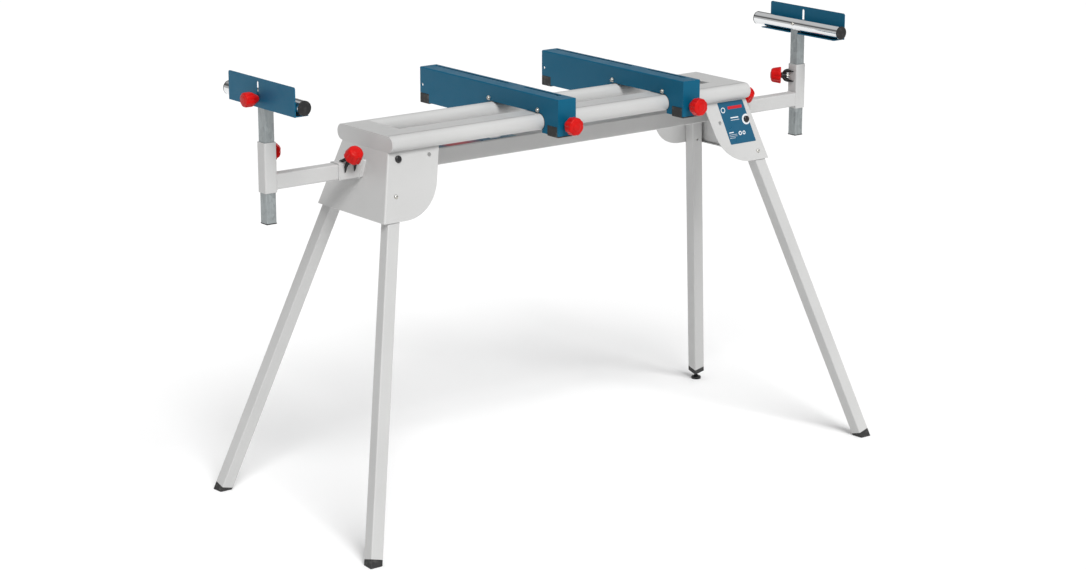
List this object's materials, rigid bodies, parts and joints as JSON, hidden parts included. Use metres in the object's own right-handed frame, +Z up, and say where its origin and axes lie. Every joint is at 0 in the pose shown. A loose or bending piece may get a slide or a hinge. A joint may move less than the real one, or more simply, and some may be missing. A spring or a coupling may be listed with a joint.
{
  "type": "folding mitre saw stand",
  "caption": "Folding machine stand with splayed legs, twin rails, sliding slotted machine brackets and extendable height-adjustable workpiece supports.",
  "frame": {"origin": "on the floor, midway between the feet and under the middle of the guide tube", "axes": "+X along the rails to the right, +Y away from the operator, +Z up"},
  "size_m": [1.6456, 0.6965, 1.009],
  "materials": {
    "grey_paint": "satin powder coat",
    "blue_paint": "satin powder coat",
    "galvanised_steel": "dull zinc",
    "zinc_steel": "bright zinc",
    "chrome_bar": "polished",
    "black_steel": "black oxide",
    "red_plastic": "moulded",
    "black_plastic": "moulded",
    "black_rubber": "matt"
  },
  "bodies": {
    "frame": {"rail_front": "grey_paint", "rail_rear": "grey_paint", "top_plate": "grey_paint", "guide_tube": "grey_paint", "housing_left": "grey_paint", "housing_right": "grey_paint", "hinge_bolts": "black_steel", "arm_clip_left": "black_plastic", "arm_clip_right": "black_plastic"},
    "leg_left_front": {"leg_left_front": "grey_paint", "foot_cap_left_front": "black_rubber", "button_spring_left_front": "zinc_steel"},
    "button_left_front": {"snap_button_left_front": "zinc_steel"},
    "leg_left_rear": {"leg_left_rear": "grey_paint", "foot_cap_left_rear": "black_rubber", "button_spring_left_rear": "zinc_steel"},
    "button_left_rear": {"snap_button_left_rear": "zinc_steel"},
    "leg_right_front": {"leg_right_front": "grey_paint", "foot_cap_right_front": "black_rubber", "button_spring_right_front": "zinc_steel"},
    "button_right_front": {"snap_button_right_front": "zinc_steel"},
    "leg_right_rear": {"leg_right_rear": "grey_paint", "foot_cap_right_rear": "black_rubber", "button_spring_right_rear": "zinc_steel"},
    "button_right_rear": {"snap_button_right_rear": "zinc_steel"},
    "levelling_foot": {"levelling_foot": "black_plastic"},
    "arm_left": {"arm_left": "grey_paint", "post_sleeve_left": "grey_paint", "post_clip_left": "black_plastic"},
    "arm_knob_left": {"arm_knob_left": "red_plastic"},
    "post_left": {"post_left": "galvanised_steel", "post_plug_left": "black_plastic", "support_bar_left": "chrome_bar", "bar_caps_left": "black_plastic"},
    "post_knob_left": {"post_knob_left": "red_plastic"},
    "stop_left": {"stop_plate_left": "blue_paint"},
    "stop_knob_left": {"stop_knob_left": "red_plastic"},
    "arm_right": {"arm_right": "grey_paint", "post_sleeve_right": "grey_paint", "post_clip_right": "black_plastic"},
    "arm_knob_right": {"arm_knob_right": "red_plastic"},
    "post_right": {"post_right": "galvanised_steel", "post_plug_right": "black_plastic", "support_bar_right": "chrome_bar", "bar_caps_right": "black_plastic"},
    "post_knob_right": {"post_knob_right": "red_plastic"},
    "stop_right": {"stop_plate_right": "blue_paint"},
    "stop_knob_right": {"stop_knob_right": "red_plastic"},
    "bracket_left": {"machine_bracket_left": "blue_paint", "bracket_liners_left": "black_plastic", "bracket_feet_left": "black_rubber"},
    "bracket_knob_left": {"bracket_knob_left": "red_plastic"},
    "jaw_left": {"clamp_jaw_left": "black_plastic"},
    "bracket_right": {"machine_bracket_right": "blue_paint", "bracket_liners_right": "black_plastic", "bracket_feet_right": "black_rubber"},
    "bracket_knob_right": {"bracket_knob_right": "red_plastic"},
    "jaw_right": {"clamp_jaw_right": "black_plastic"}
  },
  "joints": [
    {"name": "leg_fold_left_front", "type": "hinge", "parent": "frame", "child": "leg_left_front", "pos_m": [-0.4915, -0.09426, 0.8125], "axis": [0, -0.9617, 0.274], "range_deg": [0, 105]},
    {"name": "button_press_left_front", "type": "slide", "parent": "leg_left_front", "child": "button_left_front", "axis": [0, 0.9617, -0.274], "range_m": [0, 0.006], "stiffness_N_per_m": 2000, "springref_m": -0.002, "deforming": ["button_spring_left_front", "snap_button_left_front"]},
    {"name": "leg_fold_left_rear", "type": "hinge", "parent": "frame", "child": "leg_left_rear", "pos_m": [-0.4915, 0.09426, 0.8125], "axis": [0, -0.9617, -0.274], "range_deg": [0, 105]},
    {"name": "button_press_left_rear", "type": "slide", "parent": "leg_left_rear", "child": "button_left_rear", "axis": [0, -0.9617, -0.274], "range_m": [0, 0.006], "stiffness_N_per_m": 2000, "springref_m": -0.002, "deforming": ["button_spring_left_rear", "snap_button_left_rear"]},
    {"name": "leg_fold_right_front", "type": "hinge", "parent": "frame", "child": "leg_right_front", "pos_m": [0.5037, -0.10366, 0.7795], "axis": [0, 0.9617, -0.274], "range_deg": [0, 105]},
    {"name": "button_press_right_front", "type": "slide", "parent": "leg_right_front", "child": "button_right_front", "axis": [0, 0.9617, -0.274], "range_m": [0, 0.006], "stiffness_N_per_m": 2000, "springref_m": -0.002, "deforming": ["button_spring_right_front", "snap_button_right_front"]},
    {"name": "leg_fold_right_rear", "type": "hinge", "parent": "frame", "child": "leg_right_rear", "pos_m": [0.5037, 0.10366, 0.7795], "axis": [0, 0.9617, 0.274], "range_deg": [0, 105]},
    {"name": "button_press_right_rear", "type": "slide", "parent": "leg_right_rear", "child": "button_right_rear", "axis": [0, -0.9617, -0.274], "range_m": [0, 0.006], "stiffness_N_per_m": 2000, "springref_m": -0.002, "deforming": ["button_spring_right_rear", "snap_button_right_rear"]},
    {"name": "levelling_foot_screw", "type": "slide", "parent": "leg_right_rear", "child": "levelling_foot", "axis": [0, 0, 1], "range_m": [0, 0.0055]},
    {"name": "arm_slide_left", "type": "slide", "parent": "frame", "child": "arm_left", "axis": [-1, 0, 0], "range_m": [0, 0.5]},
    {"name": "arm_knob_turn_left", "type": "hinge", "parent": "frame", "child": "arm_knob_left", "pos_m": [-0.565, -0.0165, 0.8025], "axis": [0, -0.7071, 0.7071], "range_deg": [0, 720]},
    {"name": "post_height_left", "type": "slide", "parent": "arm_left", "child": "post_left", "axis": [0, 0, 1], "range_m": [-0.04, 0.13]},
    {"name": "post_knob_turn_left", "type": "hinge", "parent": "arm_left", "child": "post_knob_left", "pos_m": [-0.747, 0.015, 0.84], "axis": [0.7071, 0.7071, 0], "range_deg": [0, 720]},
    {"name": "stop_height_left", "type": "slide", "parent": "post_left", "child": "stop_left", "axis": [0, 0, 1], "range_m": [-0.032, 0]},
    {"name": "stop_knob_turn_left", "type": "hinge", "parent": "post_left", "child": "stop_knob_left", "pos_m": [-0.79, 0, 0.965], "axis": [-1, 0, 0], "range_deg": [0, 720]},
    {"name": "arm_slide_right", "type": "slide", "parent": "frame", "child": "arm_right", "axis": [1, 0, 0], "range_m": [0, 0.5]},
    {"name": "arm_knob_turn_right", "type": "hinge", "parent": "frame", "child": "arm_knob_right", "pos_m": [0.565, -0.0165, 0.8025], "axis": [0, -0.7071, 0.7071], "range_deg": [0, 720]},
    {"name": "post_height_right", "type": "slide", "parent": "arm_right", "child": "post_right", "axis": [0, 0, 1], "range_m": [-0.04, 0.13]},
    {"name": "post_knob_turn_right", "type": "hinge", "parent": "arm_right", "child": "post_knob_right", "pos_m": [0.747, 0.015, 0.84], "axis": [-0.7071, 0.7071, 0], "range_deg": [0, 720]},
    {"name": "stop_height_right", "type": "slide", "parent": "post_right", "child": "stop_right", "axis": [0, 0, 1], "range_m": [-0.032, 0]},
    {"name": "stop_knob_turn_right", "type": "hinge", "parent": "post_right", "child": "stop_knob_right", "pos_m": [0.79, 0, 0.965], "axis": [1, 0, 0], "range_deg": [0, 720]},
    {"name": "bracket_slide_left", "type": "slide", "parent": "frame", "child": "bracket_left", "axis": [1, 0, 0], "range_m": [-0.36, 0.3]},
    {"name": "bracket_knob_turn_left", "type": "hinge", "parent": "bracket_left", "child": "bracket_knob_left", "pos_m": [-0.079, -0.17, 0.847], "axis": [0, -1, 0], "range_deg": [0, 1080]},
    {"name": "jaw_travel_left", "type": "slide", "parent": "bracket_left", "child": "jaw_left", "axis": [0, 1, 0], "range_m": [-0.004, 0]},
    {"name": "bracket_slide_right", "type": "slide", "parent": "frame", "child": "bracket_right", "axis": [1, 0, 0], "range_m": [-0.3, 0.16]},
    {"name": "bracket_knob_turn_right", "type": "hinge", "parent": "bracket_right", "child": "bracket_knob_right", "pos_m": [0.285, -0.17, 0.847], "axis": [0, -1, 0], "range_deg": [0, 1080]},
    {"name": "jaw_travel_right", "type": "slide", "parent": "bracket_right", "child": "jaw_right", "axis": [0, 1, 0], "range_m": [-0.004, 0]}
  ],
  "couplings": [
    {"joint": "jaw_travel_left", "follows": "bracket_knob_turn_left", "m_per_rad": -0.00019894},
    {"joint": "jaw_travel_right", "follows": "bracket_knob_turn_right", "m_per_rad": -0.00019894}
  ]
}
